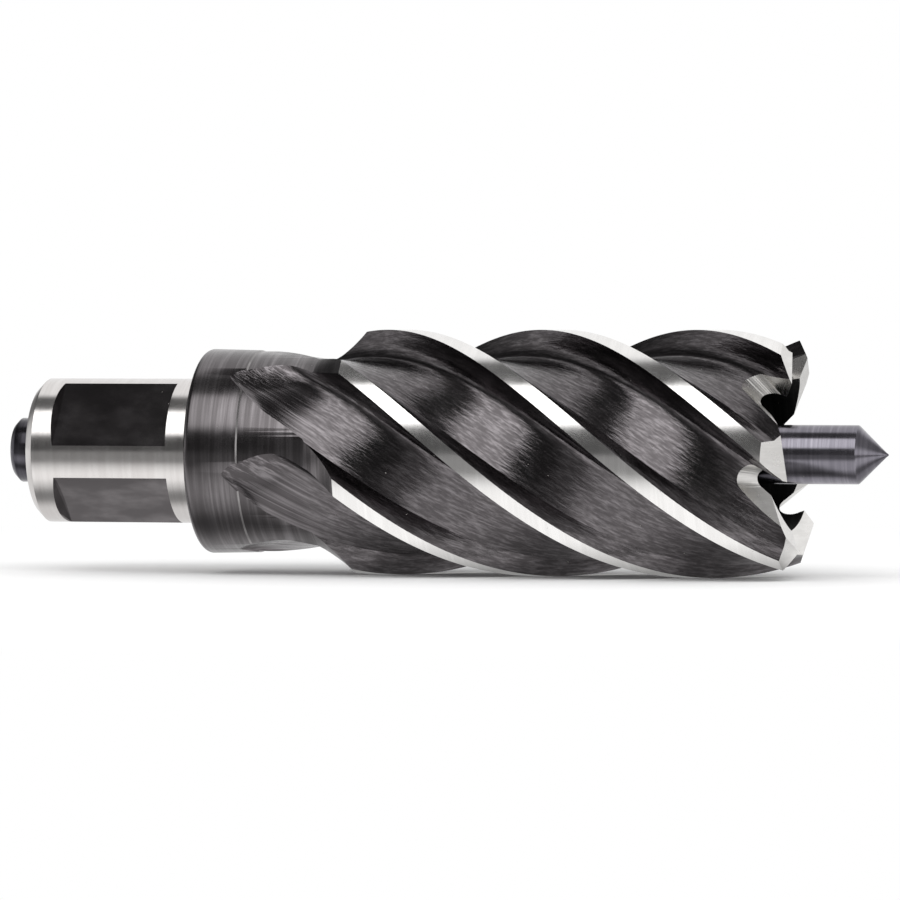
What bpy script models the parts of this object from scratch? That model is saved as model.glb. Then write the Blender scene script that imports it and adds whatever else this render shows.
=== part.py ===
# Annular cutter for a magnetic drill: a hollow milling cutter with a two-flat shank, and
# the pilot pin that slides through it. The axis lies along X with the teeth at +X.
#
# Everything is made in the frame of the empty "cutter_axis": its Z axis runs along the
# cutter from the shank's end face (z = 0) to the teeth, and angles turn about it.

import math

import bmesh
import bpy
from mathutils import Vector

MM = 0.001

# Shank
SHANK_DIAMETER = 19.05 * MM
SHANK_LENGTH = 22.6 * MM
SHANK_CHAMFER = 1.0 * MM
FLAT_DEPTH = 1.57 * MM
FLAT_LENGTH = 15.4 * MM
FLAT_FROM_END = 3.5 * MM
FLAT_RAMP = 0.9 * MM
FLAT_ANGLES = (233.5, 323.5)

# Collar and the flare up to the cutting diameter
COLLAR_RADIUS = 13.45 * MM
COLLAR_CORNER = 1.2 * MM
COLLAR_BAND_LENGTH = 7.6 * MM
COLLAR_NECK_RADIUS = 13.15 * MM
BAND_STEP = 0.08 * MM
FLARE_FROM_SHOULDER = 15.9 * MM
FLARE_LENGTH = 4.6 * MM
FLARE_START_SLOPE = 0.35

# Fluted wall
CUT_DIAMETER = 32.0 * MM
WALL_LENGTH = 58.9 * MM
CORE_DIAMETER = 20.4 * MM
CORE_DEPTH = 58.0 * MM
CORE_FLOOR_RISE = 2.2 * MM
BLANK_ALLOWANCE = 0.6 * MM

# Flutes and lands
TOOTH_COUNT = 6
HELIX_LEAD = 123.0 * MM
LAND_PHASE = 43.2
FLUTE_SIDE_REACH = 4.0 * MM
FLUTE_SIDE_OVERRUN = 0.8 * MM
FLUTE_SIDE_SLOPE = 0.5
FLUTE_STATIONS = 26
RUNOUT_STATIONS = 5
RUNOUT_SHARE = 0.09
RUNOUT_LIFT = 2.2 * MM
RUNOUT_LENGTH = 6.5 * MM
RUNOUT_START = 10.7 * MM
RUNOUT_SKEW = 7.1 * MM
RUNOUT_TIP_ANGLE = 37.7
RUNOUT_HEEL_SLOPE = 0.28 * MM
FLUTE_PAST_TEETH = 2.0 * MM

# Flute section: degrees ahead of the land's cutting edge, then the depth under the
# cutting diameter at the collar end and at the tooth end
FLUTE_SECTION = (
    (0.0, 0.0, 0.0, 0.0),
    (0.8, 3.3, 2.6 * MM, 2.4 * MM),
    (3.6, 6.3, 3.6 * MM, 3.25 * MM),
    (9.5, 11.0, 3.95 * MM, 3.6 * MM),
    (20.0, 20.0, 3.95 * MM, 3.55 * MM),
    (30.0, 30.0, 3.7 * MM, 3.1 * MM),
    (38.0, 37.0, 3.35 * MM, 2.5 * MM),
    (43.0, 41.6, 3.05 * MM, 1.98 * MM),
    (46.5, 45.2, 2.75 * MM, 1.5 * MM),
    (51.2, 50.5, 0.0, 0.0),
)

# Gullets between the teeth
GULLET_DEPTH = 5.9 * MM
GULLET_BOTTOM_RADIUS = 1.4 * MM
GULLET_OFFSET = 0.6 * MM
GULLET_PLANE_RADIUS = 12.8 * MM
GULLET_ANGLE = -3.7
RAKE_SLOPE = 26.6
BACK_WALL_RADIUS = 12.5 * MM
BACK_WALL_START = 35.0
BACK_WALL_END = 5.0
BACK_WALL_RUN = 2.5 * MM
GULLET_AXIAL_LEAN = 0.69
RAKE_SIDE_LEAN = 0.47
BACK_SIDE_LEAN = 0.16
GULLET_INNER_RADIUS = 5.2 * MM
GULLET_HEIGHT = 6.0 * MM
GULLET_ARC_STEPS = 6
BACK_WALL_STEPS = 4

# Tooth ends: a roof of two facets, falling away behind the cutting edge
RIDGE_RADIUS = 12.8 * MM
OUTER_DROPS = (1.3 * MM, 1.1 * MM, 2.7 * MM)
INNER_DROP = 0.9 * MM
RELIEF_ANGLE = 6.5
ROOF_ANGLE = -1.7
ROOF_AHEAD = 5.0 * MM
ROOF_BEHIND = 11.0 * MM
ROOF_HEIGHT = 6.0 * MM
ROOF_INNER_RADIUS = 7.6 * MM
ROOF_OUTER_RADIUS = 18.0 * MM

# Pilot pin and its bore
PIN_DIAMETER = 7.6 * MM
PIN_CLEARANCE = 0.3 * MM
PIN_HEAD_DIAMETER = 8.5 * MM
PIN_HEAD_LENGTH = 3.4 * MM
PIN_HEAD_CHAMFER = 0.7 * MM
PIN_REACH = 11.3 * MM
PIN_POINT_ANGLE = 90.0

ROUND_STEPS = 72
PIN_STEPS = 36
CORNER_STEPS = 4
FLARE_STEPS = 4
SHARP_ANGLE = 30.0

SHANK_RADIUS = SHANK_DIAMETER / 2
CUT_RADIUS = CUT_DIAMETER / 2
CORE_RADIUS = CORE_DIAMETER / 2
PIN_RADIUS = PIN_DIAMETER / 2
PIN_BORE_RADIUS = PIN_RADIUS + PIN_CLEARANCE
FLARE_Z = SHANK_LENGTH + FLARE_FROM_SHOULDER
LANDS_Z = FLARE_Z + FLARE_LENGTH
TIP_Z = LANDS_Z + WALL_LENGTH
PIN_FOOT_Z = -PIN_CLEARANCE - PIN_HEAD_LENGTH
PIN_TIP_Z = TIP_Z + PIN_REACH
PITCH = 360.0 / TOOTH_COUNT
TWIST = 360.0 / HELIX_LEAD


def empty_scene():
    for old in list(bpy.data.objects):
        bpy.data.objects.remove(old, do_unlink=True)


def new_collection(name):
    collection = bpy.data.collections.new(name)
    bpy.context.scene.collection.children.link(collection)
    return collection


def metal(name, colour, roughness):
    material = bpy.data.materials.new(name)
    material.use_nodes = True
    shader = material.node_tree.nodes["Principled BSDF"]
    shader.inputs["Base Color"].default_value = (*colour, 1.0)
    shader.inputs["Roughness"].default_value = roughness
    shader.inputs["Metallic"].default_value = 1.0
    return material


def place(obj, collection, axis):
    collection.objects.link(obj)
    obj.parent = axis
    return obj


def as_cutter(obj):
    obj.hide_render = True
    obj.display_type = "WIRE"
    return obj


def mesh_object(name, bm):
    bmesh.ops.recalc_face_normals(bm, faces=bm.faces)
    mesh = bpy.data.meshes.new(name)
    bm.to_mesh(mesh)
    bm.free()
    return bpy.data.objects.new(name, mesh)


def polar(radius, degrees, z):
    angle = math.radians(degrees)
    return Vector((radius * math.cos(angle), radius * math.sin(angle), z))


def turned(name, profile, steps, closed):
    """A profile of (radius, z) points, run down its outer side, turned about the axis."""
    bm = bmesh.new()
    points = [bm.verts.new((radius, 0.0, z)) for radius, z in profile]
    for first, second in zip(points, points[1:]):
        bm.edges.new((first, second))
    if closed:
        bm.edges.new((points[-1], points[0]))
    mesh = bpy.data.meshes.new(name)
    bm.to_mesh(mesh)
    bm.free()
    obj = bpy.data.objects.new(name, mesh)
    screw = obj.modifiers.new("turning", "SCREW")
    screw.axis = "Z"
    screw.angle = math.tau
    screw.steps = steps
    screw.render_steps = steps
    screw.use_merge_vertices = True
    screw.merge_threshold = 0.00001
    return obj


def cut(obj, cutter, name):
    boolean = obj.modifiers.new(name, "BOOLEAN")
    boolean.operation = "DIFFERENCE"
    boolean.solver = "EXACT"
    boolean.object = cutter


def bridge_rings(bm, rings):
    """Skins a row of closed rings with as many points each, and caps both ends. Its twisted
    sides are split into triangles, so that each cut has flat faces."""
    count = len(rings[0])
    for near, far in zip(rings, rings[1:]):
        for i in range(count):
            j = (i + 1) % count
            bm.faces.new((near[i], near[j], far[j], far[i]))
    bm.faces.new(rings[0])
    bm.faces.new(list(reversed(rings[-1])))
    bmesh.ops.triangulate(bm, faces=bm.faces)


def smooth_by_angle():
    """Node modifier that shades a piece smooth and keeps its sharper edges hard."""
    group = bpy.data.node_groups.new("smooth_by_angle", "GeometryNodeTree")
    group.interface.new_socket("Geometry", in_out="INPUT", socket_type="NodeSocketGeometry")
    group.interface.new_socket("Geometry", in_out="OUTPUT", socket_type="NodeSocketGeometry")
    nodes = group.nodes
    start = nodes.new("NodeGroupInput")
    end = nodes.new("NodeGroupOutput")
    faces = nodes.new("GeometryNodeSetShadeSmooth")
    faces.domain = "FACE"
    edges = nodes.new("GeometryNodeSetShadeSmooth")
    edges.domain = "EDGE"
    angle = nodes.new("GeometryNodeInputMeshEdgeAngle")
    sharp = nodes.new("FunctionNodeCompare")
    sharp.operation = "GREATER_THAN"
    sharp.inputs[1].default_value = math.radians(SHARP_ANGLE)
    edges.inputs["Shade Smooth"].default_value = False
    group.links.new(start.outputs[0], faces.inputs["Geometry"])
    group.links.new(faces.outputs["Geometry"], edges.inputs["Geometry"])
    group.links.new(angle.outputs["Unsigned Angle"], sharp.inputs[0])
    group.links.new(sharp.outputs["Result"], edges.inputs["Selection"])
    group.links.new(edges.outputs["Geometry"], end.inputs[0])
    return group


def body_profile():
    """Outer side from the teeth down to the shank's end, then back up through the bores."""
    profile = [(CUT_RADIUS, TIP_Z + BLANK_ALLOWANCE)]
    rise = CUT_RADIUS - COLLAR_NECK_RADIUS
    curve = (rise - FLARE_START_SLOPE * FLARE_LENGTH) / FLARE_LENGTH ** 2
    for step in range(FLARE_STEPS, -1, -1):
        along = FLARE_LENGTH * step / FLARE_STEPS
        radius = COLLAR_NECK_RADIUS + FLARE_START_SLOPE * along + curve * along ** 2
        profile.append((radius, FLARE_Z + along))
    band_z = SHANK_LENGTH + COLLAR_BAND_LENGTH
    profile.append((COLLAR_NECK_RADIUS, band_z + BAND_STEP))
    profile.append((COLLAR_NECK_RADIUS + BAND_STEP, band_z))
    for step in range(CORNER_STEPS + 1):
        angle = math.radians(90.0 * step / CORNER_STEPS)
        radius = COLLAR_RADIUS - COLLAR_CORNER + COLLAR_CORNER * math.cos(angle)
        profile.append((radius, SHANK_LENGTH + COLLAR_CORNER - COLLAR_CORNER * math.sin(angle)))
    profile.append((SHANK_RADIUS, SHANK_LENGTH))
    profile.append((SHANK_RADIUS, SHANK_CHAMFER))
    profile.append((SHANK_RADIUS - SHANK_CHAMFER, 0.0))
    profile.append((PIN_BORE_RADIUS, 0.0))
    core_z = TIP_Z - CORE_DEPTH
    profile.append((PIN_BORE_RADIUS, core_z))
    profile.append((CORE_RADIUS, core_z + CORE_FLOOR_RISE))
    profile.append((CORE_RADIUS, TIP_Z + BLANK_ALLOWANCE))
    return profile


def flat_cutter(index, degrees):
    """A block over one side of the shank, with a ramp on its wall nearest the shank's end."""
    bm = bmesh.new()
    bmesh.ops.create_cube(bm, size=1.0)
    height = SHANK_RADIUS
    floor = SHANK_RADIUS - FLAT_DEPTH
    bmesh.ops.scale(bm, vec=(height, SHANK_DIAMETER, FLAT_LENGTH), verts=bm.verts)
    shift = (floor + height / 2, 0.0, FLAT_FROM_END + FLAT_LENGTH / 2)
    bmesh.ops.translate(bm, vec=shift, verts=bm.verts)
    slope = FLAT_RAMP / FLAT_DEPTH
    for vert in bm.verts:
        if vert.co.z < FLAT_FROM_END + FLAT_LENGTH / 2 and vert.co.x > floor + height / 2:
            vert.co.z -= slope * height
    cutter = mesh_object(f"flat_cutter_{index}", bm)
    cutter.rotation_euler.z = math.radians(degrees)
    return cutter


def flute_edge_z(degrees):
    """Where the flute leaves the collar: a skewed straight edge, then a corner at its heel."""
    start = SHANK_LENGTH + RUNOUT_START
    if degrees <= RUNOUT_TIP_ANGLE:
        return start - RUNOUT_SKEW * degrees / RUNOUT_TIP_ANGLE
    return start - RUNOUT_SKEW + RUNOUT_HEEL_SLOPE * (degrees - RUNOUT_TIP_ANGLE)


def flute_ring(bm, phase, share):
    """One section of a flute, as a closed ring that reaches well outside the body."""
    end_z = TIP_Z + FLUTE_PAST_TEETH
    ring = []
    for collar_angle, tooth_angle, collar_depth, tooth_depth in FLUTE_SECTION:
        start_z = flute_edge_z(collar_angle)
        z = start_z + (end_z - start_z) * share
        blend = min(max((z - LANDS_Z) / WALL_LENGTH, 0.0), 1.0)
        degrees = collar_angle + (tooth_angle - collar_angle) * blend
        depth = collar_depth + (tooth_depth - collar_depth) * blend
        rising = max(0.0, 1.0 - (z - start_z) / RUNOUT_LENGTH)
        radius = CUT_RADIUS - depth + RUNOUT_LIFT * rising ** 2
        ring.append(polar(radius, phase + degrees + TWIST * z, z))
    lead = extended(ring[1], ring[0])
    heel = extended(ring[-2], ring[-1])
    heel_out = heel * ((CUT_RADIUS + FLUTE_SIDE_REACH) / CUT_RADIUS)
    heel_out.z = heel.z
    return [bm.verts.new(point) for point in [lead, *ring[1:-1], heel, heel_out]]


def extended(inner, outer):
    """Carries a flute's side on past the margin, so that it leaves the body cleanly."""
    direction = outer - inner
    flat = Vector((direction.x, direction.y, 0.0))
    radial = Vector((outer.x, outer.y, 0.0)).normalized()
    rise = max(flat.dot(radial), flat.length * FLUTE_SIDE_SLOPE)
    return outer + direction * (FLUTE_SIDE_OVERRUN / rise)


def flute_cutter(index):
    bm = bmesh.new()
    phase = LAND_PHASE + PITCH * index
    shares = [RUNOUT_SHARE * step / RUNOUT_STATIONS for step in range(RUNOUT_STATIONS)]
    for step in range(FLUTE_STATIONS + 1):
        shares.append(RUNOUT_SHARE + (1.0 - RUNOUT_SHARE) * step / FLUTE_STATIONS)
    bridge_rings(bm, [flute_ring(bm, phase, share) for share in shares])
    return mesh_object(f"flute_cutter_{index}", bm)


def gullet_outline():
    """Closed outline of a gullet as (height along the axis, tangential place, side lean)."""
    centre_z = TIP_Z - GULLET_DEPTH + GULLET_BOTTOM_RADIUS
    centre_t = GULLET_OFFSET
    radius = GULLET_BOTTOM_RADIUS
    top_z = TIP_Z + GULLET_HEIGHT
    start = 180.0 + RAKE_SLOPE
    end = 90.0 - BACK_WALL_START
    arc = []
    for step in range(GULLET_ARC_STEPS + 1):
        share = step / GULLET_ARC_STEPS
        heading = math.radians(start + (end - start) * share)
        lean = RAKE_SIDE_LEAN + (BACK_SIDE_LEAN - RAKE_SIDE_LEAN) * share
        z = centre_z - radius * math.sin(heading)
        arc.append((z, centre_t + radius * math.cos(heading), lean))
    first_z, first_t, _ = arc[0]
    rake_top_t = first_t + (top_z - first_z) * math.tan(math.radians(RAKE_SLOPE))
    outline = [(top_z, rake_top_t, RAKE_SIDE_LEAN), *arc]
    wall_z, wall_t, _ = arc[-1]
    begin = math.radians(BACK_WALL_START)
    for step in range(1, BACK_WALL_STEPS + 1):
        share = step / BACK_WALL_STEPS
        angle = begin + (math.radians(BACK_WALL_END) - begin) * share
        z = wall_z + BACK_WALL_RADIUS * (math.cos(angle) - math.cos(begin))
        t = wall_t + BACK_WALL_RADIUS * (math.sin(begin) - math.sin(angle))
        outline.append((z, t, BACK_SIDE_LEAN))
    last_z, last_t, _ = outline[-1]
    last_z += BACK_WALL_RUN * math.tan(math.radians(BACK_WALL_END))
    outline.append((last_z, last_t + BACK_WALL_RUN, BACK_SIDE_LEAN))
    outline.append((top_z, last_t + BACK_WALL_RUN, BACK_SIDE_LEAN))
    return outline


def gullet_cutter(index):
    """A leaning, slightly tapered bar through the wall, narrower towards the axis."""
    bm = bmesh.new()
    rings = []
    for radius in (ROOF_OUTER_RADIUS, GULLET_INNER_RADIUS):
        inward = GULLET_PLANE_RADIUS - radius
        ring = []
        for z, t, lean in gullet_outline():
            moved = (radius, t + lean * inward, z + GULLET_AXIAL_LEAN * inward)
            ring.append(bm.verts.new(moved))
        rings.append(ring)
    bridge_rings(bm, rings)
    cutter = mesh_object(f"gullet_cutter_{index}", bm)
    cutter.rotation_euler.z = math.radians(tip_angle(index) + GULLET_ANGLE)
    return cutter


def tip_angle(index):
    """Angle of a land's cutting edge where it reaches the tooth's tip."""
    return LAND_PHASE + TWIST * TIP_Z + PITCH * index


def roof_cutter(index):
    """What is ground off a tooth's end: the space over an outer and an inner facet."""
    bm = bmesh.new()
    outer_drop = OUTER_DROPS[index % len(OUTER_DROPS)]
    outer_slope = outer_drop / (CUT_RADIUS - RIDGE_RADIUS)
    inner_slope = INNER_DROP / (RIDGE_RADIUS - CORE_RADIUS)
    top = TIP_Z + ROOF_HEIGHT
    outer_z = TIP_Z - outer_slope * (ROOF_OUTER_RADIUS - RIDGE_RADIUS)
    inner_z = TIP_Z - inner_slope * (RIDGE_RADIUS - ROOF_INNER_RADIUS)
    section = (
        (ROOF_INNER_RADIUS, inner_z),
        (RIDGE_RADIUS, TIP_Z),
        (ROOF_OUTER_RADIUS, outer_z),
        (ROOF_OUTER_RADIUS, top),
        (ROOF_INNER_RADIUS, top),
    )
    fall = math.tan(math.radians(RELIEF_ANGLE))
    rings = []
    for t in (ROOF_AHEAD, -ROOF_BEHIND):
        rings.append([bm.verts.new((radius, t, z + fall * t)) for radius, z in section])
    bridge_rings(bm, rings)
    cutter = mesh_object(f"roof_cutter_{index}", bm)
    cutter.rotation_euler.z = math.radians(tip_angle(index) + ROOF_ANGLE)
    return cutter


def pin_profile():
    """From the point down the outer side to the head."""
    point = PIN_RADIUS / math.tan(math.radians(PIN_POINT_ANGLE / 2))
    head = PIN_HEAD_DIAMETER / 2
    return [
        (0.0, PIN_TIP_Z),
        (PIN_RADIUS, PIN_TIP_Z - point),
        (PIN_RADIUS, -PIN_CLEARANCE),
        (head, -PIN_CLEARANCE),
        (head, PIN_FOOT_Z + PIN_HEAD_CHAMFER),
        (head - PIN_HEAD_CHAMFER, PIN_FOOT_Z),
        (0.0, PIN_FOOT_Z),
    ]


def build():
    empty_scene()
    parts = new_collection("annular_cutter")
    cutters = new_collection("annular_cutter_cutters")
    shading = smooth_by_angle()

    axis = bpy.data.objects.new("cutter_axis", None)
    parts.objects.link(axis)
    axis.rotation_euler = (0.0, math.radians(90.0), 0.0)
    axis.location = (-(PIN_FOOT_Z + PIN_TIP_Z) / 2, 0.0, CUT_RADIUS)

    body = place(turned("cutter_body", body_profile(), ROUND_STEPS, True), parts, axis)
    body.data.materials.append(metal("black_oxide_steel", (0.035, 0.033, 0.035), 0.42))
    for index, degrees in enumerate(FLAT_ANGLES):
        cut(body, place(as_cutter(flat_cutter(index, degrees)), cutters, axis), f"flat_{index}")
    for index in range(TOOTH_COUNT):
        cut(body, place(as_cutter(flute_cutter(index)), cutters, axis), f"flute_{index}")
    for index in range(TOOTH_COUNT):
        cut(body, place(as_cutter(gullet_cutter(index)), cutters, axis), f"gullet_{index}")
    for index in range(TOOTH_COUNT):
        cut(body, place(as_cutter(roof_cutter(index)), cutters, axis), f"roof_{index}")
    body.modifiers.new("shading", "NODES").node_group = shading

    pin = place(turned("pilot_pin", pin_profile(), PIN_STEPS, False), parts, axis)
    pin.data.materials.append(metal("blued_steel", (0.05, 0.05, 0.06), 0.3))
    pin.modifiers.new("shading", "NODES").node_group = shading


build()
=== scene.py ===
import math

import bmesh
import bpy
from mathutils import Matrix, Vector


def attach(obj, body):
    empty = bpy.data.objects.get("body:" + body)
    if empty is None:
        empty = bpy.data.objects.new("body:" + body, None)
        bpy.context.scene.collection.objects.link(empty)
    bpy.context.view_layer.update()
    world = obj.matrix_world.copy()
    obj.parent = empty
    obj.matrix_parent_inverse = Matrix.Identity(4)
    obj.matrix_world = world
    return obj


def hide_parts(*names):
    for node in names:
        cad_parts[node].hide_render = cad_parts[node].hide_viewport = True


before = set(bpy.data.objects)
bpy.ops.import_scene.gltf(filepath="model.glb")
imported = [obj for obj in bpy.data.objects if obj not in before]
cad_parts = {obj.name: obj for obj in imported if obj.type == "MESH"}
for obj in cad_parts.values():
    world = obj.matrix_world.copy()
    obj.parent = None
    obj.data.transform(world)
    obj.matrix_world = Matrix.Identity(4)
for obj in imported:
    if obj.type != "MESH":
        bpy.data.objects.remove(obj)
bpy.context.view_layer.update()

# Cutter body: the turned blank
# One bar of high-speed steel, turned to the shank, the collar, the flare and the wall,
# and bored for the pilot pin and the core. The tool's axis lies along X, teeth at +X.
MM = 0.001
END_FACE_X = -54.8 * MM
AXIS_Z = 16.0 * MM
CUTTING_RADIUS = 16.0 * MM
SHANK_RADIUS = 9.525 * MM
SHANK_LENGTH = 22.8 * MM
SHANK_CHAMFER = 1.0 * MM
COLLAR_RADIUS = 13.45 * MM
COLLAR_CORNER = 0.8 * MM
NECK_RADIUS = 13.15 * MM
BAND_END = 30.0 * MM
BAND_STEP = 0.08 * MM
FLARE_START = 38.8 * MM
FLARE_SLOPE = 0.35
FLARE_STEPS = 16
LANDS_START = 43.4 * MM
WALL_STEPS = 24
TOOTH_TIPS = 101.8 * MM
BLANK_END = 102.6 * MM
PIN_BORE_RADIUS = 4.1 * MM
CORE_RADIUS = 10.2 * MM
CORE_FLOOR = 44.0 * MM
CORE_FLOOR_RISE = 2.2 * MM
EDGE_BREAK = 0.2 * MM
TURNING_STEPS = 288


def around(radius, degrees, along):
    """A point by its radius and angle about the axis and its distance from the end face."""
    angle = math.radians(degrees)
    across = radius * math.sin(angle)
    return Vector((END_FACE_X + along, across, AXIS_Z - radius * math.cos(angle)))


def corner(centre_along, centre_radius, size, first, last, steps):
    """Points of a rounded corner in a turned profile, as (along, radius)."""
    points = []
    for step in range(steps + 1):
        angle = math.radians(first + (last - first) * step / steps)
        along = centre_along + size * math.cos(angle)
        points.append((along, centre_radius + size * math.sin(angle)))
    return points


def turned(name, profile, closed):
    """Turns a profile of (along, radius) points about the axis and links the piece."""
    bm = bmesh.new()
    points = [bm.verts.new(around(radius, 0.0, along)) for along, radius in profile]
    edges = [bm.edges.new(pair) for pair in zip(points, points[1:])]
    if closed:
        edges.append(bm.edges.new((points[-1], points[0])))
    bmesh.ops.spin(
        bm,
        geom=points + edges,
        cent=(0.0, 0.0, AXIS_Z),
        axis=(1.0, 0.0, 0.0),
        angle=math.tau,
        steps=TURNING_STEPS,
        use_merge=True,
    )
    bmesh.ops.remove_doubles(bm, verts=bm.verts, dist=0.001 * MM)
    bmesh.ops.recalc_face_normals(bm, faces=bm.faces)
    mesh = bpy.data.meshes.new(name)
    bm.to_mesh(mesh)
    bm.free()
    piece = bpy.data.objects.new(name, mesh)
    bpy.context.scene.collection.objects.link(piece)
    return piece


# From the bore's edge over the end face and the shank to the collar. The corners of the
# chamfer are eased by a few hundredths of a millimetre.
blank_profile = [
    (CORE_FLOOR, PIN_BORE_RADIUS),
    (EDGE_BREAK, PIN_BORE_RADIUS),
    (0.0, PIN_BORE_RADIUS + EDGE_BREAK),
    (0.0, SHANK_RADIUS - SHANK_CHAMFER - 0.05 * MM),
    (0.05 * MM, SHANK_RADIUS - SHANK_CHAMFER + 0.02 * MM),
    (SHANK_CHAMFER - 0.02 * MM, SHANK_RADIUS - 0.05 * MM),
    (SHANK_CHAMFER + 0.06 * MM, SHANK_RADIUS),
    (SHANK_LENGTH - EDGE_BREAK, SHANK_RADIUS),
    (SHANK_LENGTH, SHANK_RADIUS + EDGE_BREAK),
]
blank_profile += corner(
    SHANK_LENGTH + COLLAR_CORNER, COLLAR_RADIUS - COLLAR_CORNER, COLLAR_CORNER, 180.0, 90.0, 12
)
blank_profile += [
    (BAND_END - 0.12 * MM, NECK_RADIUS + BAND_STEP + 0.07 * MM),
    (BAND_END - 0.03 * MM, NECK_RADIUS + BAND_STEP),
    (BAND_END + BAND_STEP, NECK_RADIUS),
]
flare_length = LANDS_START - FLARE_START
flare_bend = (CUTTING_RADIUS - NECK_RADIUS - FLARE_SLOPE * flare_length) / flare_length**2
for step in range(FLARE_STEPS + 1):
    run = flare_length * step / FLARE_STEPS
    rise = FLARE_SLOPE * run + flare_bend * run**2
    blank_profile.append((FLARE_START + run, NECK_RADIUS + rise))
for step in range(1, WALL_STEPS + 1):
    share = step / WALL_STEPS
    blank_profile.append((LANDS_START + (BLANK_END - LANDS_START) * share, CUTTING_RADIUS))
blank_profile += [(BLANK_END, CORE_RADIUS), (CORE_FLOOR + CORE_FLOOR_RISE, CORE_RADIUS)]
blank = turned("cutter_blank", blank_profile, True)

# Cutter body: black and bright steel
# The steel wears a thin black oxide with a soft grey shine. The shank, the lands and the
# teeth are ground after blackening and stay bright. Turning leaves fine rings, the grinding
# wheel leaves short wavy lines up the flutes, and a little dust lies on it all.
HELIX_LEAD = 123.0 * MM
MARKS_DRIFT_SCALE = 0.35
COARSE_MARKS_SCALE = 0.37
COARSE_MARKS_WEIGHT = 1.4
RULED_CONTRAST = 1.8
RULED_LEVEL = -0.95
PATCH_SCALE = 0.3
PATCH_WEIGHT = 0.5
TONE_RANGE = (1.15, 2.1)
SMEAR_RANGE = (0.3, 0.7)
DUST_COLOUR = (0.6, 0.58, 0.56)
DUST_CELLS = 0.8
DUST_SIZE = 0.075
DUST_SHARE = 0.28


def new_group(name, inputs, outputs):
    """An empty shader node group with its sockets, and its two end nodes."""
    group = bpy.data.node_groups.new(name, "ShaderNodeTree")
    for label, kind in inputs:
        group.interface.new_socket(label, in_out="INPUT", socket_type=kind)
    for label, kind in outputs:
        group.interface.new_socket(label, in_out="OUTPUT", socket_type=kind)
    start = group.nodes.new("NodeGroupInput")
    end = group.nodes.new("NodeGroupOutput")
    return group, start, end


def maths(tree, operation, first, second=None, third=None):
    """A math node on sockets or plain numbers; gives its output socket."""
    node = tree.nodes.new("ShaderNodeMath")
    node.operation = operation
    for place, value in enumerate((first, second, third)):
        if isinstance(value, (int, float)):
            node.inputs[place].default_value = value
        elif value is not None:
            tree.links.new(value, node.inputs[place])
    return node.outputs[0]


def mixed_value(tree, share, first, second):
    """The first value where the share is 0 and the second where it is 1."""
    node = tree.nodes.new("ShaderNodeMix")
    tree.links.new(share, node.inputs["Factor"])
    for socket, value in ((node.inputs["A"], first), (node.inputs["B"], second)):
        if isinstance(value, (int, float)):
            socket.default_value = value
        else:
            tree.links.new(value, socket)
    return node.outputs["Result"]


def rescaled(tree, value, low, high, new_low, new_high):
    """Maps a value from one range to another and holds it at the ends."""
    node = tree.nodes.new("ShaderNodeMapRange")
    node.interpolation_type = "SMOOTHSTEP"
    node.inputs["From Min"].default_value = low
    node.inputs["From Max"].default_value = high
    node.inputs["To Min"].default_value = new_low
    node.inputs["To Max"].default_value = new_high
    tree.links.new(value, node.inputs["Value"])
    return node.outputs["Result"]


def noise(tree, vector, scale, detail, roughness=0.5):
    """A noise texture on a vector; gives its node."""
    node = tree.nodes.new("ShaderNodeTexNoise")
    node.inputs["Scale"].default_value = scale
    node.inputs["Detail"].default_value = detail
    node.inputs["Roughness"].default_value = roughness
    tree.links.new(vector, node.inputs["Vector"])
    return node


def stretched(tree, vector, scale):
    """A vector scaled by its own amount along each axis."""
    node = tree.nodes.new("ShaderNodeMapping")
    node.inputs["Scale"].default_value = scale
    tree.links.new(vector, node.inputs["Vector"])
    return node.outputs["Vector"]


def helix_space_group():
    """Position about the tool's axis, turned back along the flutes' helix, in millimetres."""
    group, start, end = new_group(
        "helix_space",
        [("Twist", "NodeSocketFloat")],
        [("Vector", "NodeSocketVector"), ("Along", "NodeSocketFloat")],
    )
    place = group.nodes.new("ShaderNodeTexCoord")
    centred = group.nodes.new("ShaderNodeMapping")
    centred.inputs["Location"].default_value = (-END_FACE_X / MM, 0.0, -AXIS_Z / MM)
    centred.inputs["Scale"].default_value = (1.0 / MM, 1.0 / MM, 1.0 / MM)
    group.links.new(place.outputs["Object"], centred.inputs["Vector"])
    split = group.nodes.new("ShaderNodeSeparateXYZ")
    group.links.new(centred.outputs["Vector"], split.inputs["Vector"])
    turn = maths(group, "MULTIPLY", split.outputs["X"], start.outputs["Twist"])
    rotate = group.nodes.new("ShaderNodeVectorRotate")
    rotate.rotation_type = "X_AXIS"
    group.links.new(centred.outputs["Vector"], rotate.inputs["Vector"])
    group.links.new(turn, rotate.inputs["Angle"])
    group.links.new(rotate.outputs["Vector"], end.inputs["Vector"])
    group.links.new(split.outputs["X"], end.inputs["Along"])
    return group


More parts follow.
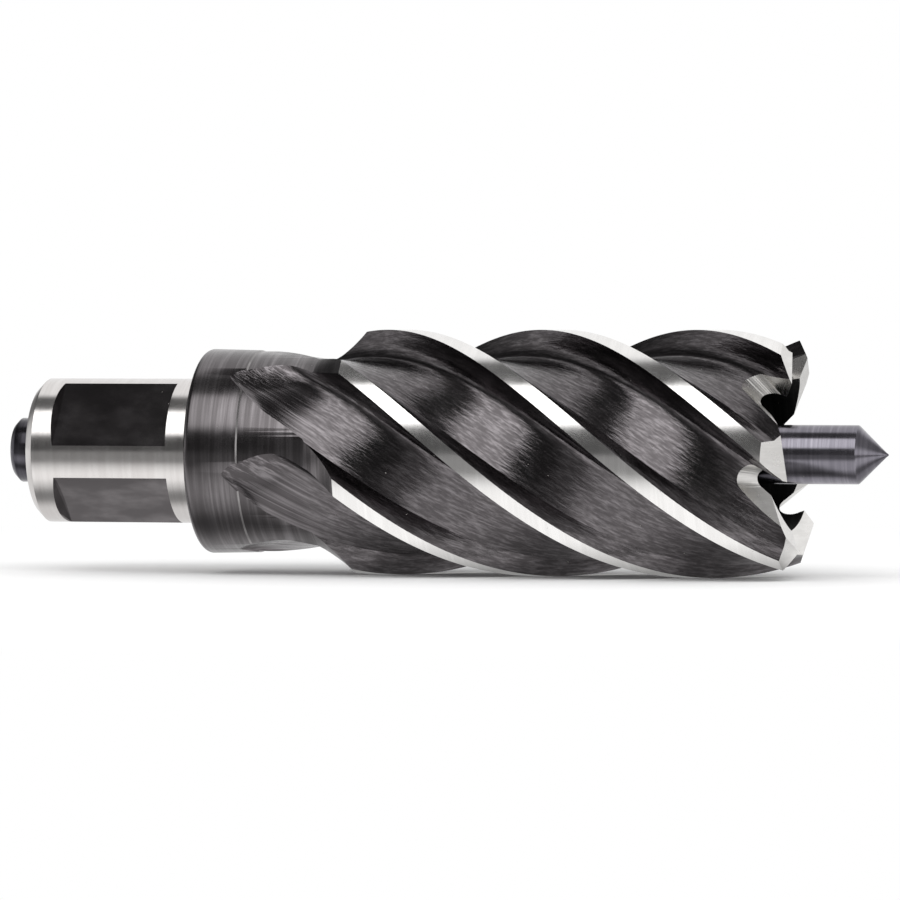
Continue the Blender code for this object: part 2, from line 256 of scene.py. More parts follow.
def tool_marks_group():
    """Parallel marks in two sizes as a height, from a position stretched along them."""
    group, start, end = new_group(
        "tool_marks",
        [("Vector", "NodeSocketVector"), ("Wander", "NodeSocketFloat")],
        [("Height", "NodeSocketFloat")],
    )
    drift = noise(group, start.outputs["Vector"], MARKS_DRIFT_SCALE, 1.0)
    amount = group.nodes.new("ShaderNodeCombineXYZ")
    for axis in range(3):
        group.links.new(start.outputs["Wander"], amount.inputs[axis])
    offset = group.nodes.new("ShaderNodeVectorMath")
    offset.operation = "MULTIPLY_ADD"
    group.links.new(drift.outputs["Color"], offset.inputs[0])
    group.links.new(amount.outputs[0], offset.inputs[1])
    group.links.new(start.outputs["Vector"], offset.inputs[2])
    fine = noise(group, offset.outputs["Vector"], 1.0, 2.0, 0.6)
    coarse = noise(group, offset.outputs["Vector"], COARSE_MARKS_SCALE, 1.0)
    both = maths(
        group, "MULTIPLY_ADD", coarse.outputs["Fac"], COARSE_MARKS_WEIGHT, fine.outputs["Fac"]
    )
    group.links.new(both, end.inputs["Height"])
    return group


def dust_group():
    """A mask of a few tiny pale specks, from a position in millimetres."""
    group, start, end = new_group(
        "dust", [("Vector", "NodeSocketVector")], [("Mask", "NodeSocketFloat")]
    )
    cells = group.nodes.new("ShaderNodeTexVoronoi")
    cells.inputs["Scale"].default_value = DUST_CELLS
    group.links.new(start.outputs["Vector"], cells.inputs["Vector"])
    pick = group.nodes.new("ShaderNodeSeparateColor")
    group.links.new(cells.outputs["Color"], pick.inputs["Color"])
    size = maths(group, "MULTIPLY", pick.outputs["Green"], DUST_SIZE)
    near = maths(group, "LESS_THAN", cells.outputs["Distance"], size)
    chosen = maths(group, "GREATER_THAN", pick.outputs["Red"], 1.0 - DUST_SHARE)
    group.links.new(maths(group, "MULTIPLY", near, chosen), end.inputs["Mask"])
    return group


helix_space = helix_space_group()
tool_marks = tool_marks_group()
dust = dust_group()


def steel(name, dark, light, rough, marks, depth, lead=None, wander=0.0, ruled=None):
    """Steel in two tones with parallel marks, as many to the millimetre along and across.

    The marks follow a helix of the given lead and wander off it. Ruled lines are straight
    ones that fade into the marks between two places along the tool: (from, to, lines).
    """
    material = bpy.data.materials.new(name)
    material.use_nodes = True
    tree = material.node_tree
    shader = tree.nodes["Principled BSDF"]
    shader.inputs["Metallic"].default_value = 1.0
    space = tree.nodes.new("ShaderNodeGroup")
    space.node_tree = helix_space
    if lead:
        space.inputs["Twist"].default_value = -math.tau / lead * MM
    lines = tree.nodes.new("ShaderNodeGroup")
    lines.node_tree = tool_marks
    lines.inputs["Wander"].default_value = wander
    tree.links.new(stretched(tree, space.outputs["Vector"], marks), lines.inputs["Vector"])
    height = lines.outputs["Height"]
    if ruled:
        ruled_from, ruled_to, ruled_lines = ruled
        straight = tree.nodes.new("ShaderNodeGroup")
        straight.node_tree = tool_marks
        ruled_space = stretched(tree, space.outputs["Vector"], ruled_lines)
        tree.links.new(ruled_space, straight.inputs["Vector"])
        deeper = maths(
            tree, "MULTIPLY_ADD", straight.outputs["Height"], RULED_CONTRAST, RULED_LEVEL
        )
        share = rescaled(tree, space.outputs["Along"], ruled_from, ruled_to, 1.0, 0.0)
        height = mixed_value(tree, share, height, deeper)
    patches = noise(tree, space.outputs["Vector"], PATCH_SCALE, 4.0, 0.6)
    uneven = maths(tree, "MULTIPLY_ADD", patches.outputs["Fac"], PATCH_WEIGHT, height)
    shade = rescaled(tree, uneven, *TONE_RANGE, 0.0, 1.0)
    colour = tree.nodes.new("ShaderNodeMix")
    colour.data_type = "RGBA"
    colour.inputs["A"].default_value = (*dark, 1.0)
    colour.inputs["B"].default_value = (*light, 1.0)
    tree.links.new(shade, colour.inputs["Factor"])
    specks = tree.nodes.new("ShaderNodeGroup")
    specks.node_tree = dust
    tree.links.new(space.outputs["Vector"], specks.inputs["Vector"])
    dusted = tree.nodes.new("ShaderNodeMix")
    dusted.data_type = "RGBA"
    dusted.inputs["B"].default_value = (*DUST_COLOUR, 1.0)
    tree.links.new(specks.outputs["Mask"], dusted.inputs["Factor"])
    tree.links.new(colour.outputs["Result"], dusted.inputs["A"])
    tree.links.new(dusted.outputs["Result"], shader.inputs["Base Color"])
    smear = rescaled(tree, patches.outputs["Fac"], *SMEAR_RANGE, *rough)
    dull = maths(tree, "MAXIMUM", smear, specks.outputs["Mask"])
    tree.links.new(dull, shader.inputs["Roughness"])
    bump = tree.nodes.new("ShaderNodeBump")
    bump.inputs["Strength"].default_value = 1.0
    bump.inputs["Distance"].default_value = depth
    tree.links.new(height, bump.inputs["Height"])
    tree.links.new(bump.outputs["Normal"], shader.inputs["Normal"])
    return material


# The bore and the core are near black, far darker than the oxide outside: the oxide's own dark
# with painted shade in the recess.
bore_black_painted_shade = steel(
    "black_bored_core_painted_shade",
    dark=(0.012, 0.012, 0.012),
    light=(0.03, 0.03, 0.03),
    rough=(0.45, 0.55),
    marks=(3.0, 0.1, 0.1),
    depth=0.004 * MM,
)
turned_black = steel(
    "black_turned_collar",
    dark=(0.12, 0.111, 0.114),
    light=(0.24, 0.224, 0.231),
    rough=(0.19, 0.25),
    marks=(4.0, 0.12, 0.12),
    depth=0.009 * MM,
)
# The step's edge is a lighter steel than the collar: a painted highlight standing in for the
# thin bright line that a small fillet there mirrors.
step_ring_painted_highlight = steel(
    "lighter_step_ring_painted_highlight",
    dark=(0.25, 0.24, 0.24),
    light=(0.5, 0.48, 0.48),
    rough=(0.2, 0.3),
    marks=(1.0, 0.5, 0.5),
    depth=0.002 * MM,
)
ground_bright = steel(
    "bright_ground_cylinder",
    dark=(0.72, 0.69, 0.675),
    light=(0.8, 0.775, 0.76),
    rough=(0.14, 0.2),
    marks=(3.0, 0.15, 0.15),
    depth=0.004 * MM,
)
# The lands are a lighter copy of the shank's ground steel: a painted highlight that renders
# them whiter than the shank under the same light.
land_bright_painted_highlight = steel(
    "bright_ground_lands_painted_highlight",
    dark=(0.88, 0.865, 0.85),
    light=(0.98, 0.965, 0.95),
    rough=(0.14, 0.2),
    marks=(3.0, 0.15, 0.15),
    depth=0.004 * MM,
)
blank_finishes = [bore_black_painted_shade, ground_bright, turned_black, step_ring_painted_highlight, land_bright_painted_highlight]
for finish in blank_finishes:
    blank.data.materials.append(finish)
for face in blank.data.polygons:
    along = face.center.x - END_FACE_X
    radius = math.hypot(face.center.y, face.center.z - AXIS_Z)
    in_core = radius < CORE_RADIUS + 0.1 * MM and along > SHANK_LENGTH
    in_bore = radius < PIN_BORE_RADIUS + EDGE_BREAK and along > 0.0
    if in_core or in_bore:
        finish = bore_black_painted_shade
    elif along < SHANK_LENGTH - EDGE_BREAK:
        finish = ground_bright
    elif along > LANDS_START:
        finish = land_bright_painted_highlight
    # The step's faces take the painted highlight.
    elif BAND_END - 0.2 * MM < along < BAND_END + BAND_STEP:
        finish = step_ring_painted_highlight
    else:
        finish = turned_black
    face.material_index = blank_finishes.index(finish)

# Cutter body: shank flats
# Two flats a quarter turn apart that the arbor's grub screws press on, milled before the
# steel is blackened, with a small ramp where the cutter came in from the end.
FLAT_DEPTH = 1.45 * MM
FLAT_LENGTH = 15.4 * MM
FLAT_FROM_END = 3.95 * MM
FLAT_RAMP = 0.45 * MM
FLAT_ANGLES = (233.0, 323.0)
milled_black = steel(
    "black_milled_flats",
    dark=(0.12, 0.11, 0.113),
    light=(0.26, 0.242, 0.247),
    rough=(0.06, 0.11),
    marks=(0.25, 0.5, 0.5),
    depth=0.006 * MM,
    wander=0.5,
)


def finished_cutter(name, bm, finish):
    """A closed cutting shape whose cut takes the given finish."""
    bmesh.ops.recalc_face_normals(bm, faces=bm.faces)
    mesh = bpy.data.meshes.new(name)
    bm.to_mesh(mesh)
    bm.free()
    mesh.materials.append(finish)
    shape = bpy.data.objects.new(name, mesh)
    bpy.context.scene.collection.objects.link(shape)
    return shape


def turn_to(bm, degrees):
    """Turns what was made at the angle 0 round the tool's axis."""
    turn = Matrix.Rotation(math.radians(degrees), 3, "X")
    bmesh.ops.rotate(bm, verts=bm.verts, cent=(0.0, 0.0, AXIS_Z), matrix=turn)


cutting_shapes = []
flat_floor = SHANK_RADIUS - FLAT_DEPTH
flat_middle_x = END_FACE_X + FLAT_FROM_END + FLAT_LENGTH / 2
flat_middle_z = AXIS_Z - flat_floor - SHANK_RADIUS / 2
for index, degrees in enumerate(FLAT_ANGLES):
    bm = bmesh.new()
    bmesh.ops.create_cube(bm, size=1.0)
    bmesh.ops.scale(bm, vec=(FLAT_LENGTH, 2 * SHANK_RADIUS, SHANK_RADIUS), verts=bm.verts)
    bmesh.ops.translate(bm, vec=(flat_middle_x, 0.0, flat_middle_z), verts=bm.verts)
    for vert in bm.verts:
        if vert.co.x < flat_middle_x and vert.co.z < flat_middle_z:
            vert.co.x -= FLAT_RAMP / FLAT_DEPTH * SHANK_RADIUS
    turn_to(bm, degrees)
    cutting_shapes.append(finished_cutter(f"flat_shape_{index}", bm, milled_black))

# Cutter body: flutes
# Six right-hand helical flutes, ground with a formed wheel that leaves a sharp land edge on
# one side and a second shallow crease on the other, and lifts out skew over the collar.
TEETH = 6
PITCH = 360.0 / TEETH
LAND_PHASE = 42.3
DEGREES_PER_MM = 360.0 / (HELIX_LEAD / MM)
RUNOUT_EDGE = 33.95 * MM
RUNOUT_SKEW = 8.85 * MM
RUNOUT_TIP = 37.7
RUNOUT_HEEL = 0.28 * MM
RUNOUT_LENGTH = 6.5 * MM
RUNOUT_LIFT = 2.2 * MM
RUNOUT_ROWS = 0.25
RUNOUT_SHARE = 0.09
FLUTE_END = TOOTH_TIPS + 2.0 * MM
FLUTE_COLUMNS = 36
FLUTE_ROWS = 120
SIDE_OVERHANG = 0.3
BESIDE_SIDES = (0.11, 0.89)
WHEEL_RADIUS = 21.0 * MM
# Across the flute: degrees at the collar and at the teeth, millimetres deep at both.
FLUTE_FORM = (
    (0.0, 0.0, 0.0, 0.0),
    (0.8, 3.3, 2.6, 2.4),
    (3.6, 6.3, 3.6, 3.25),
    (9.5, 11.0, 3.95, 3.6),
    (20.0, 20.0, 3.95, 3.55),
    (30.0, 30.0, 3.7, 3.1),
    (38.0, 37.0, 3.35, 2.5),
    (43.0, 41.6, 3.05, 1.98),
    (46.5, 45.2, 2.75, 1.5),
    (51.2, 50.5, 0.0, 0.0),
)
flute_black = steel(
    "black_ground_flutes",
    dark=(0.095, 0.087, 0.09),
    light=(0.24, 0.223, 0.231),
    rough=(0.13, 0.18),
    marks=(1.7, 7.0, 7.0),
    depth=0.014 * MM,
    lead=HELIX_LEAD,
    wander=0.8,
    ruled=(35.0, 44.0, (0.04, 5.5, 5.5)),
)


def form_point(place):
    """The flute's form between its gauge points, smooth over the floor, sharp at the sides."""
    last = len(FLUTE_FORM) - 1
    first = min(int(place * last), last - 1)
    share = place * last - first
    near = FLUTE_FORM[first]
    far = FLUTE_FORM[first + 1]
    if first in (0, last - 1):
        return [a + (b - a) * share for a, b in zip(near, far)]
    before = FLUTE_FORM[first - 1] if first > 1 else near
    after = FLUTE_FORM[first + 2] if first + 2 < last else far
    values = []
    for left, here, there, right in zip(before, near, far, after):
        curve = (
            2 * here,
            there - left,
            2 * left - 5 * here + 4 * there - right,
            3 * here - left - 3 * there + right,
        )
        values.append(sum(term * share**power for power, term in enumerate(curve)) / 2)
    return values


def flute_point(place, share, phase):
    """A point of the flute's surface, across by place and along by share."""
    collar_angle, tooth_angle, collar_depth, tooth_depth = form_point(place)
    if collar_angle <= RUNOUT_TIP:
        edge = RUNOUT_EDGE - RUNOUT_SKEW * collar_angle / RUNOUT_TIP
    else:
        edge = RUNOUT_EDGE - RUNOUT_SKEW + RUNOUT_HEEL * (collar_angle - RUNOUT_TIP)
    along = edge + (FLUTE_END - edge) * share
    blend = min(max((along - LANDS_START) / (TOOTH_TIPS - LANDS_START), 0.0), 1.0)
    degrees = collar_angle + (tooth_angle - collar_angle) * blend
    depth = (collar_depth + (tooth_depth - collar_depth) * blend) * MM
    rising = max(0.0, 1.0 - (along - edge) / RUNOUT_LENGTH)
    radius = CUTTING_RADIUS - depth + RUNOUT_LIFT * rising**2
    return radius, phase + degrees + DEGREES_PER_MM * along / MM, along


def denser_run_out(share):
    """Gives the short run-out a quarter of the rows along the flute."""
    if share < RUNOUT_ROWS:
        return share * RUNOUT_SHARE / RUNOUT_ROWS
    return RUNOUT_SHARE + (share - RUNOUT_ROWS) * (1.0 - RUNOUT_SHARE) / (1.0 - RUNOUT_ROWS)


for index in range(TEETH):
    phase = LAND_PHASE + PITCH * index
    bm = bmesh.new()
    bmesh.ops.create_grid(bm, x_segments=FLUTE_COLUMNS, y_segments=FLUTE_ROWS, size=1.0)
    for vert in bm.verts:
        place = (vert.co.x + 1.0) / 2
        share = denser_run_out((vert.co.y + 1.0) / 2)
        radius, degrees, along = flute_point(place, share, phase)
        if place < 0.001 or place > 0.999:
            # The sides run on past the blank, so that the cut leaves clean edges.
            beside = BESIDE_SIDES[0] if place < 0.5 else BESIDE_SIDES[1]
            inner_radius, inner_degrees, _ = flute_point(beside, share, phase)
            radius += (radius - inner_radius) * SIDE_OVERHANG
            degrees += (degrees - inner_degrees) * SIDE_OVERHANG
        vert.co = around(radius, degrees, along)
    skin = bmesh.ops.extrude_face_region(bm, geom=bm.faces[:], use_keep_orig=True)
    for vert in skin["geom"]:
        if isinstance(vert, bmesh.types.BMVert):
            across = Vector((0.0, vert.co.y, vert.co.z - AXIS_Z))
            vert.co += across.normalized() * (WHEEL_RADIUS - across.length)
    cutting_shapes.append(finished_cutter(f"flute_shape_{index}", bm, flute_black))

# Cutter body: gullets and tooth ends
# A round-nosed wheel grinds a leaning gullet through the wall ahead of each tooth. The
# end is then ground to two facets that meet in a ridge and fall away behind the edge.
GULLET_DEPTH = 6.75 * MM
GULLET_NOSE = 1.9 * MM
GULLET_OFFSET = 0.95 * MM
GULLET_LEAN = 0.95
GULLET_TURN = -1.8
RAKE = math.radians(26.6)
BACK_SLOPE = math.radians(54.0)
FACE_LEAN = 0.47
BACK_LEAN = 0.16
NOSE_STEPS = 16
RIDGE_RADIUS = 12.8 * MM
# The outer facets fall by these amounts in turn, the third one further than the others.
OUTER_DROPS = (1.3 * MM, 1.1 * MM, 2.7 * MM)
INNER_DROP = 0.9 * MM
RELIEF = math.tan(math.radians(6.5))
END_TURN = 0.2
OUTSIDE = 18.0 * MM
GULLET_INSIDE = 5.2 * MM
END_INSIDE = 7.6 * MM
END_AHEAD = 5.0 * MM
END_WIDTH = 16.0 * MM
PAST_TIPS = 6.0 * MM
SHARP_EDGE = math.radians(24.0)
tooth_bright = steel(
    "bright_ground_teeth",
    dark=(0.76, 0.745, 0.725),
    light=(0.86, 0.845, 0.825),
    rough=(0.25, 0.35),
    marks=(0.5, 0.8, 4.0),
    depth=0.003 * MM,
    wander=0.2,
)


def gullet_outline():
    """The wheel's outline as (along, sideways, lean towards the axis)."""
    centre = TOOTH_TIPS - GULLET_DEPTH + GULLET_NOSE
    first = math.pi + RAKE
    nose = []
    for step in range(NOSE_STEPS + 1):
        share = step / NOSE_STEPS
        heading = first + (BACK_SLOPE - first) * share
        along = centre - GULLET_NOSE * math.sin(heading)
        side = GULLET_OFFSET + GULLET_NOSE * math.cos(heading)
        nose.append((along, side, FACE_LEAN + (BACK_LEAN - FACE_LEAN) * share))
    top = TOOTH_TIPS + PAST_TIPS
    face_top = nose[0][1] + (top - nose[0][0]) * math.tan(RAKE)
    back_top = nose[-1][1] + (top - nose[-1][0]) * math.tan(BACK_SLOPE)
    return [(top, face_top, FACE_LEAN), *nose, (top, back_top, BACK_LEAN)]


def leaning_place(outline_point, radius):
    """Where a point of the gullet's outline lies at a radius, which is true at the ridge."""
    along, side, lean = outline_point
    inward = RIDGE_RADIUS - radius
    return END_FACE_X + along + GULLET_LEAN * inward, side + lean * inward, AXIS_Z - radius


def leaning_bar(outline, outer, inner):
    """A bar from the outside in towards the axis, each corner leaning its own way."""
    bm = bmesh.new()
    rim = [bm.verts.new(leaning_place(point, outer)) for point in outline]
    face = bm.faces.new(rim)
    far = bmesh.ops.extrude_face_region(bm, geom=[face], use_keep_orig=True)
    for vert in far["geom"]:
        if isinstance(vert, bmesh.types.BMVert):
            near = min(range(len(rim)), key=lambda i: (rim[i].co - vert.co).length)
            vert.co = leaning_place(outline[near], inner)
    return bm


for index in range(TEETH):
    tip = LAND_PHASE + DEGREES_PER_MM * TOOTH_TIPS / MM + PITCH * index
    bm = leaning_bar(gullet_outline(), OUTSIDE, GULLET_INSIDE)
    bmesh.ops.triangulate(bm, faces=bm.faces)
    turn_to(bm, tip + GULLET_TURN)
    cutting_shapes.append(finished_cutter(f"gullet_shape_{index}", bm, tooth_bright))
for index in range(TEETH):
    tip = LAND_PHASE + DEGREES_PER_MM * TOOTH_TIPS / MM + PITCH * index
    outer_fall = OUTER_DROPS[index % 3] / (CUTTING_RADIUS - RIDGE_RADIUS)
    inner_fall = INNER_DROP / (RIDGE_RADIUS - CORE_RADIUS)
    top = TOOTH_TIPS + PAST_TIPS
    section = (
        (END_INSIDE, TOOTH_TIPS - inner_fall * (RIDGE_RADIUS - END_INSIDE)),
        (RIDGE_RADIUS, TOOTH_TIPS),
        (OUTSIDE, TOOTH_TIPS - outer_fall * (OUTSIDE - RIDGE_RADIUS)),
        (OUTSIDE, top),
        (END_INSIDE, top),
    )
    bm = bmesh.new()
    rim = []
    for radius, along in section:
        ahead_x = END_FACE_X + along + RELIEF * END_AHEAD
        rim.append(bm.verts.new((ahead_x, END_AHEAD, AXIS_Z - radius)))
    face = bm.faces.new(rim)
    far = bmesh.ops.extrude_face_region(bm, geom=[face], use_keep_orig=True)
    ends = [vert for vert in far["geom"] if isinstance(vert, bmesh.types.BMVert)]
    bmesh.ops.translate(bm, vec=(-RELIEF * END_WIDTH, -END_WIDTH, 0.0), verts=ends)
    turn_to(bm, tip + END_TURN)
    cutting_shapes.append(finished_cutter(f"end_shape_{index}", bm, tooth_bright))

for shape in cutting_shapes:
    cut = blank.modifiers.new(shape.name, "BOOLEAN")
    cut.operation = "DIFFERENCE"
    cut.solver = "EXACT"
    cut.material_mode = "TRANSFER"
    cut.object = shape
bpy.context.view_layer.update()
cut_blank = blank.evaluated_get(bpy.context.evaluated_depsgraph_get())
body_mesh = bpy.data.meshes.new_from_object(cut_blank)
body_mesh.name = "cutter"
cutter = bpy.data.objects.new("cutter", body_mesh)
bpy.context.scene.collection.objects.link(cutter)
for used in [blank, *cutting_shapes]:
    bpy.data.objects.remove(used, do_unlink=True)
body_mesh.shade_smooth()
body_mesh.set_sharp_from_angle(angle=SHARP_EDGE)
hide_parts("cutter_body")
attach(cutter, "cutter")

# Pilot pin
# A turned and blued steel pin with a 90 degree point, and a slightly larger chamfered head
# that stops it at the shank's end. It finds the hole's centre and pushes out the slug.
PIN_RADIUS = 3.8 * MM
PIN_TIP = 113.0 * MM
HEAD_RADIUS = 4.25 * MM
HEAD_FOOT = -3.7 * MM
HEAD_SEAT = -0.3 * MM
HEAD_CHAMFER = 0.7 * MM
PIN_SHARP_EDGE = math.radians(30.0)
blued = steel(
    "blued_pin",
    dark=(0.2, 0.19, 0.22),
    light=(0.3, 0.285, 0.325),
    rough=(0.14, 0.2),
    marks=(5.0, 0.15, 0.15),
    depth=0.002 * MM,
)
# The head is a darker copy of the pin's blued steel: painted shade against the bright end of
# the room that its chamfer faces.
blued_head_painted_shade = steel(
    "blued_pin_head_painted_shade",
    dark=(0.09, 0.086, 0.1),
    light=(0.15, 0.143, 0.165),
    rough=(0.14, 0.2),
    marks=(5.0, 0.15, 0.15),
    depth=0.002 * MM,
)
# From the head's foot to the point, with every corner eased a little.
pin_profile = [
    (HEAD_FOOT, 0.0),
    (HEAD_FOOT, HEAD_RADIUS - HEAD_CHAMFER - 0.05 * MM),
    (HEAD_FOOT + 0.05 * MM, HEAD_RADIUS - HEAD_CHAMFER + 0.03 * MM),
    (HEAD_FOOT + HEAD_CHAMFER - 0.04 * MM, HEAD_RADIUS - 0.05 * MM),
    (HEAD_FOOT + HEAD_CHAMFER + 0.06 * MM, HEAD_RADIUS),
    (HEAD_SEAT - 0.08 * MM, HEAD_RADIUS),
    (HEAD_SEAT, HEAD_RADIUS - 0.08 * MM),
    (HEAD_SEAT, PIN_RADIUS),
    (PIN_TIP - PIN_RADIUS - 0.1 * MM, PIN_RADIUS),
    (PIN_TIP - PIN_RADIUS + 0.05 * MM, PIN_RADIUS - 0.08 * MM),
    (PIN_TIP - 0.25 * MM, 0.25 * MM),
    (PIN_TIP - 0.05 * MM, 0.12 * MM),
    (PIN_TIP, 0.0),
]
pin = turned("pin", pin_profile, False)
pin_finishes = [blued, blued_head_painted_shade]
for finish in pin_finishes:
    pin.data.materials.append(finish)
# The head's faces take the darker copy, the painted shade.
for face in pin.data.polygons:
    finish = blued_head_painted_shade if face.center.x < END_FACE_X else blued
    face.material_index = pin_finishes.index(finish)
pin.data.shade_smooth()
pin.data.set_sharp_from_angle(angle=PIN_SHARP_EDGE)
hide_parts("pilot_pin")
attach(pin, "pin")

# Table
# A plain white board that the cutter lies on. The camera sees its middle as lit and shaded
# and the rest as pure white; the steel sees it glow with a painted shadow of the tool and
# painted darkness towards the front.
BOARD_HALF = 6.0
BOARD_WHITE = (0.9, 0.9, 0.9, 1.0)
LIT_MIDDLE = (90.0 * MM, 160.0 * MM)
# How bright the board glows in the steel, from front to back, as (millimetres from the axis,
# share of BOARD_GLOW): a painted shadow of the tool and painted darkness towards the front.
# Under the shank and the collar, which stand clear of the board, the painted shadow lies
# further forward, and under the pin it is deeper.
BOARD_GLOW = 1.3
GLOW_FROM = -60.0
GLOW_TO = 40.0
PAINTED_SHADOW_UNDER_BODY = (
    (-60, 0.2), (-46, 0.45), (-34, 0.75), (-26, 0.8), (-12, 0.78), (-8, 0.5), (-4, 0.22),
    (0, 0.22), (4, 0.45), (15, 0.5), (40, 0.55),
)
PAINTED_SHADOW_UNDER_SHANK = (
    (-60, 0.2), (-49, 0.4), (-35, 0.65), (-27, 0.8), (-21, 0.8), (-18, 0.65), (-15, 0.48),
    (-12, 0.23), (-10, 0.18), (-8, 0.22), (-6, 0.4), (-4.5, 0.54), (-3, 0.6), (40, 0.65),
)
PAINTED_SHADOW_UNDER_PIN = (
    (-60, 0.05), (-46, 0.06), (-32, 0.1), (-19, 0.25), (-11, 0.15), (-6.4, 0.07), (-2, 0.2),
    (0, 0.53), (4, 0.75), (40, 0.85),
)
COLLAR_TO_BODY = (-23.0 * MM, -14.0 * MM)
PIN_ZONE_START = (45.0 * MM, 49.0 * MM)
PIN_ZONE_END = (54.0 * MM, 57.0 * MM)


def glow_ramp(tree, place, glows, start, end):
    """A ramp of brightness over a range, from pairs of a place in the range and a value."""
    ramp = tree.nodes.new("ShaderNodeValToRGB")
    stops = ramp.color_ramp.elements
    while len(stops) < len(glows):
        stops.new(0.5)
    for stop, (at, value) in zip(stops, glows):
        stop.position = (at - start) / (end - start)
        stop.color = (value, value, value, 1.0)
    share = maths(tree, "MULTIPLY_ADD", place, 1.0 / (end - start), -start / (end - start))
    tree.links.new(share, ramp.inputs["Fac"])
    return ramp.outputs["Color"]


bm = bmesh.new()
bmesh.ops.create_grid(bm, x_segments=1, y_segments=1, size=BOARD_HALF)
mesh = bpy.data.meshes.new("table")
bm.to_mesh(mesh)
bm.free()
table = bpy.data.objects.new("table", mesh)
bpy.context.scene.collection.objects.link(table)
white = bpy.data.materials.new("table_white")
white.use_nodes = True
board = white.node_tree
board.nodes.remove(board.nodes["Principled BSDF"])
paint = board.nodes.new("ShaderNodeBsdfDiffuse")
paint.inputs["Color"].default_value = BOARD_WHITE
shine = board.nodes.new("ShaderNodeEmission")
where = board.nodes.new("ShaderNodeTexCoord")
split = board.nodes.new("ShaderNodeSeparateXYZ")
board.links.new(where.outputs["Object"], split.inputs["Vector"])
path = board.nodes.new("ShaderNodeLightPath")
across = maths(board, "MULTIPLY", split.outputs["Y"], 1.0 / MM)
under_body = glow_ramp(board, across, PAINTED_SHADOW_UNDER_BODY, GLOW_FROM, GLOW_TO)
under_shank = glow_ramp(board, across, PAINTED_SHADOW_UNDER_SHANK, GLOW_FROM, GLOW_TO)
under_pin = glow_ramp(board, across, PAINTED_SHADOW_UNDER_PIN, GLOW_FROM, GLOW_TO)
past_collar = rescaled(board, split.outputs["X"], *COLLAR_TO_BODY, 0.0, 1.0)
past_teeth = rescaled(board, split.outputs["X"], *PIN_ZONE_START, 0.0, 1.0)
before_point = rescaled(board, split.outputs["X"], *PIN_ZONE_END, 1.0, 0.0)
at_pin = maths(board, "MULTIPLY", past_teeth, before_point)
under_cutter = mixed_value(board, past_collar, under_shank, under_body)
painted_shadow_under_tool = mixed_value(board, at_pin, under_cutter, under_pin)
board_with_painted_shadow = maths(board, "MULTIPLY", painted_shadow_under_tool, BOARD_GLOW)
# In the steel the board glows with the painted shadow and the painted dark front.
glossy = path.outputs["Is Glossy Ray"]
board.links.new(mixed_value(board, glossy, 1.0, board_with_painted_shadow), shine.inputs["Strength"])
distance = board.nodes.new("ShaderNodeVectorMath")
distance.operation = "LENGTH"
board.links.new(where.outputs["Object"], distance.inputs[0])
far_off = rescaled(board, distance.outputs["Value"], *LIT_MIDDLE, 0.0, 1.0)
seen_far_off = maths(board, "MULTIPLY", path.outputs["Is Camera Ray"], far_off)
glowing = board.nodes.new("ShaderNodeMixShader")
board.links.new(maths(board, "MAXIMUM", seen_far_off, glossy), glowing.inputs["Fac"])
board.links.new(paint.outputs["BSDF"], glowing.inputs[1])
board.links.new(shine.outputs["Emission"], glowing.inputs[2])
board.links.new(glowing.outputs["Shader"], board.nodes["Material Output"].inputs["Surface"])
table.data.materials.append(white)

# Light
# A white tent lights the board evenly, and a soft lamp above the front shades it. The steel
# mirrors a long soft box above the front, a white screen behind and above it, dark gaps
# between them and at the camera's height, and the room's two ends.
SOFT_BOX = 1.9
BOARD_LIGHT = 0.92
# Round the tool, in degrees from straight up towards the front: (degrees, share of SOFT_BOX).
ROOM_AROUND = (
    (-95, 0.48), (-12, 0.51), (-3, 0.06), (20, 0.05), (25, 1.0), (60, 1.0), (66, 0.04),
    (95, 0.04), (135, 0.41),
)
# Along the tool, from straight towards the shank's end to straight towards the teeth's end.
ROOM_ENDS = ((-1, 0.35), (-0.9, 0.33), (-0.8, 0.1), (-0.4, 0.1), (0.4, 0.55), (1, 0.55))
ENDS_BEGIN = (0.3, 0.65)
ENDS_DIM_ABOVE = (0.15, 0.5)
ENDS_DIM = 0.3
world = bpy.data.worlds.new("studio")
world.use_nodes = True
bpy.context.scene.world = world
room = world.node_tree
sky = room.nodes["Background"]
sky.inputs["Color"].default_value = (1.0, 1.0, 1.0, 1.0)
where = room.nodes.new("ShaderNodeTexCoord")
split = room.nodes.new("ShaderNodeSeparateXYZ")
room.links.new(where.outputs["Generated"], split.inputs["Vector"])
path = room.nodes.new("ShaderNodeLightPath")
forward = maths(room, "MULTIPLY", split.outputs["Y"], -1.0)
tilt = maths(room, "ARCTAN2", forward, split.outputs["Z"])
degrees = maths(room, "MULTIPLY", tilt, 360.0 / math.tau)
room_around = glow_ramp(room, degrees, ROOM_AROUND, -180.0, 180.0)
ends_low = glow_ramp(room, split.outputs["X"], ROOM_ENDS, -1.0, 1.0)
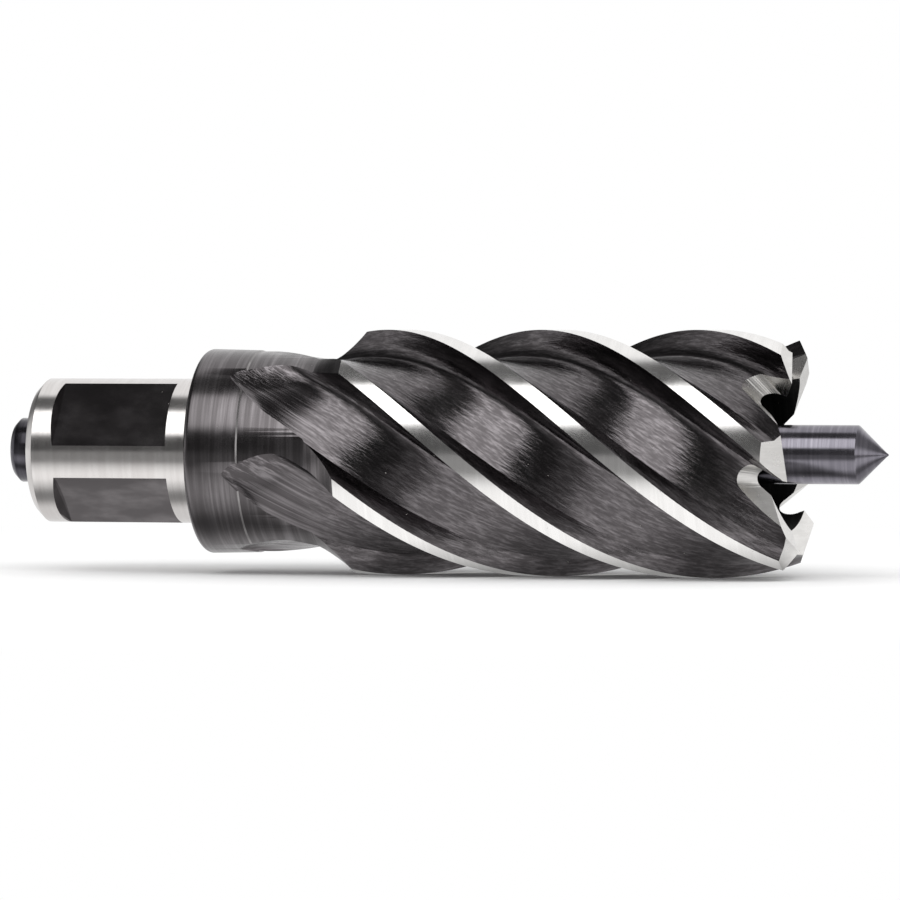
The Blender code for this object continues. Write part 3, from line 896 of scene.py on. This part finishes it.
dimming = rescaled(room, split.outputs["Z"], *ENDS_DIM_ABOVE, 1.0, ENDS_DIM)
room_ends = maths(room, "MULTIPLY", ends_low, dimming)
endways = maths(room, "ABSOLUTE", split.outputs["X"])
at_ends = rescaled(room, endways, *ENDS_BEGIN, 0.0, 1.0)
mirrored = mixed_value(room, at_ends, room_around, room_ends)
room_in_steel = maths(room, "MULTIPLY", mirrored, SOFT_BOX)
lit = mixed_value(room, path.outputs["Is Glossy Ray"], BOARD_LIGHT, room_in_steel)
shown = mixed_value(room, path.outputs["Is Camera Ray"], lit, 1.0)
room.links.new(shown, sky.inputs["Strength"])

# The lamp only shades the board: the steel shows the room instead of it.
LAMP_PLACE = Vector((0.05, -0.45, 0.6))
front_lamp = bpy.data.lights.new("front_lamp", "AREA")
front_lamp.shape = "RECTANGLE"
front_lamp.size = 1.2
front_lamp.size_y = 0.42
front_lamp.energy = 3.0
lamp_stand = bpy.data.objects.new("front_lamp", front_lamp)
lamp_stand.location = LAMP_PLACE
lamp_aim = Vector((0.0, 0.0, AXIS_Z)) - LAMP_PLACE
lamp_stand.rotation_euler = lamp_aim.to_track_quat("-Z", "Y").to_euler()
lamp_stand.visible_glossy = False
bpy.context.scene.collection.objects.link(lamp_stand)

# Camera
# It looks level at the tool from a little towards the teeth, through a long lens.
AZIMUTH = math.radians(13.2)
ELEVATION = math.radians(1.5)
DISTANCE = 0.66
AIMED_AT = Vector((0.52 * MM, 0.0, AXIS_Z))
camera = bpy.data.cameras.new("camera")
camera.sensor_width = 36.0
camera.lens = 202.24
camera.shift_y = 0.0026
camera.clip_end = 20.0
viewer = bpy.data.objects.new("camera", camera)
level = math.cos(ELEVATION)
away = Vector((math.sin(AZIMUTH) * level, -math.cos(AZIMUTH) * level, math.sin(ELEVATION)))
viewer.location = AIMED_AT + away * DISTANCE
viewer.rotation_euler = (-away).to_track_quat("-Z", "Y").to_euler()
bpy.context.scene.collection.objects.link(viewer)
bpy.context.scene.camera = viewer
bpy.context.scene.view_settings.view_transform = "Standard"
